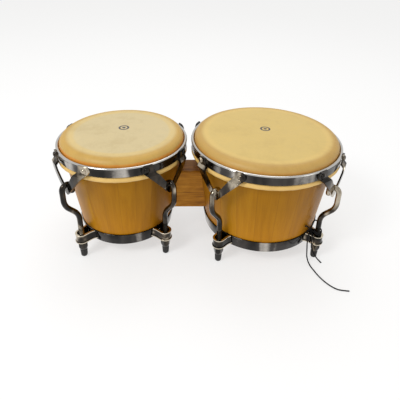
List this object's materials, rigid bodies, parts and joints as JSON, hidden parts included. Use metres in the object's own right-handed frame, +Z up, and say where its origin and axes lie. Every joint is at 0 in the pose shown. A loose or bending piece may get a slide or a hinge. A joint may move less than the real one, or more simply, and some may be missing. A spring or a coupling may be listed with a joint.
{
  "type": "bongo drums",
  "caption": "Pair of joined staved-wood bongo drums with rawhide heads, chromed rims, hooked lug rods, tuning nuts with rubber feet, and a cord tied to one lug.",
  "frame": {"origin": "on the ground under the middle of the pair's bounding box, midway between the outer sides of the two rims", "axes": "+X from the small drum to the large drum, +Z up, -Y towards the side where the cord is tied"},
  "size_m": [0.4288, 0.2602, 0.181],
  "materials": {
    "shell_wood": "amber lacquer over staved oak, glossy",
    "block_wood": "amber lacquer, grain along the block",
    "rawhide": "natural rawhide, mottled, satin",
    "chrome": "bright plate with light wear",
    "plain_steel": "zinc plated",
    "insert_brass": "turned",
    "tip_rubber": "moulded, matte",
    "cord": "twisted black cord, matte"
  },
  "bodies": {
    "root": {"small_shell": "shell_wood", "small_head_skin": "rawhide", "small_flesh_hoop": "plain_steel", "small_bottom_ring": "chrome", "small_lug_brackets": "chrome", "small_lug_washers": "plain_steel", "small_block_bolts": "plain_steel", "small_block_washers": "plain_steel", "large_shell": "shell_wood", "large_head_skin": "rawhide", "large_flesh_hoop": "plain_steel", "large_bottom_ring": "chrome", "large_lug_brackets": "chrome", "large_lug_washers": "plain_steel", "large_block_bolts": "plain_steel", "large_block_washers": "plain_steel", "centre_block": "block_wood", "block_inserts": "insert_brass", "cord_wrap": "cord", "cord_knot": "cord", "cord_stub": "cord", "cord_long_tail": "cord", "cord_short_tail": "cord"},
    "small_rim": {"small_rim_band": "chrome", "small_rim_rivets": "chrome", "small_hook_plate_1": "chrome", "small_hook_plate_2": "chrome", "small_hook_plate_3": "chrome", "small_hook_plate_4": "chrome", "small_lug_rod_1": "chrome", "small_lug_rod_2": "chrome", "small_lug_rod_3": "chrome", "small_lug_rod_4": "chrome"},
    "small_nut_1": {"small_tuning_nut_1": "chrome", "small_foot_tip_1": "tip_rubber"},
    "small_nut_2": {"small_tuning_nut_2": "chrome", "small_foot_tip_2": "tip_rubber"},
    "small_nut_3": {"small_tuning_nut_3": "chrome", "small_foot_tip_3": "tip_rubber"},
    "small_nut_4": {"small_tuning_nut_4": "chrome", "small_foot_tip_4": "tip_rubber"},
    "large_rim": {"large_rim_band": "chrome", "large_rim_rivets": "chrome", "large_hook_plate_1": "chrome", "large_hook_plate_2": "chrome", "large_hook_plate_3": "chrome", "large_hook_plate_4": "chrome", "large_lug_rod_1": "chrome", "large_lug_rod_2": "chrome", "large_lug_rod_3": "chrome", "large_lug_rod_4": "chrome"},
    "large_nut_1": {"large_tuning_nut_1": "chrome", "large_foot_tip_1": "tip_rubber"},
    "large_nut_2": {"large_tuning_nut_2": "chrome", "large_foot_tip_2": "tip_rubber"},
    "large_nut_3": {"large_tuning_nut_3": "chrome", "large_foot_tip_3": "tip_rubber"},
    "large_nut_4": {"large_tuning_nut_4": "chrome", "large_foot_tip_4": "tip_rubber"}
  },
  "joints": [
    {"name": "small_nut_1_turn", "type": "hinge", "parent": "root", "child": "small_nut_1", "pos_m": [-0.05868, 0.06413, 0.02], "axis": [0, 0, -1], "range_deg": [0, 1260]},
    {"name": "small_nut_2_turn", "type": "hinge", "parent": "root", "child": "small_nut_2", "pos_m": [-0.18241, 0.0596, 0.02], "axis": [0, 0, -1], "range_deg": [0, 1260]},
    {"name": "small_nut_3_turn", "type": "hinge", "parent": "root", "child": "small_nut_3", "pos_m": [-0.17787, -0.06413, 0.02], "axis": [0, 0, -1], "range_deg": [0, 1260]},
    {"name": "small_nut_4_turn", "type": "hinge", "parent": "root", "child": "small_nut_4", "pos_m": [-0.05414, -0.0596, 0.02], "axis": [0, 0, -1], "range_deg": [0, 1260]},
    {"name": "small_rim_lift", "type": "slide", "parent": "root", "child": "small_rim", "axis": [0, 0, 1], "range_m": [0, 0.00494]},
    {"name": "large_nut_1_turn", "type": "hinge", "parent": "root", "child": "large_nut_1", "pos_m": [0.17179, 0.07809, 0.02], "axis": [0, 0, -1], "range_deg": [0, 1260]},
    {"name": "large_nut_2_turn", "type": "hinge", "parent": "root", "child": "large_nut_2", "pos_m": [0.02114, 0.07257, 0.02], "axis": [0, 0, -1], "range_deg": [0, 1260]},
    {"name": "large_nut_3_turn", "type": "hinge", "parent": "root", "child": "large_nut_3", "pos_m": [0.02666, -0.07809, 0.02], "axis": [0, 0, -1], "range_deg": [0, 1260]},
    {"name": "large_nut_4_turn", "type": "hinge", "parent": "root", "child": "large_nut_4", "pos_m": [0.17731, -0.07257, 0.02], "axis": [0, 0, -1], "range_deg": [0, 1260]},
    {"name": "large_rim_lift", "type": "slide", "parent": "root", "child": "large_rim", "axis": [0, 0, 1], "range_m": [0, 0.00494]}
  ],
  "couplings": [
    {"joint": "small_nut_1_turn", "follows": "small_rim_lift", "rad_per_m": 4452.6},
    {"joint": "small_nut_2_turn", "follows": "small_rim_lift", "rad_per_m": 4452.6},
    {"joint": "small_nut_3_turn", "follows": "small_rim_lift", "rad_per_m": 4452.6},
    {"joint": "small_nut_4_turn", "follows": "small_rim_lift", "rad_per_m": 4452.6},
    {"joint": "large_nut_1_turn", "follows": "large_rim_lift", "rad_per_m": 4452.6},
    {"joint": "large_nut_2_turn", "follows": "large_rim_lift", "rad_per_m": 4452.6},
    {"joint": "large_nut_3_turn", "follows": "large_rim_lift", "rad_per_m": 4452.6},
    {"joint": "large_nut_4_turn", "follows": "large_rim_lift", "rad_per_m": 4452.6}
  ]
}
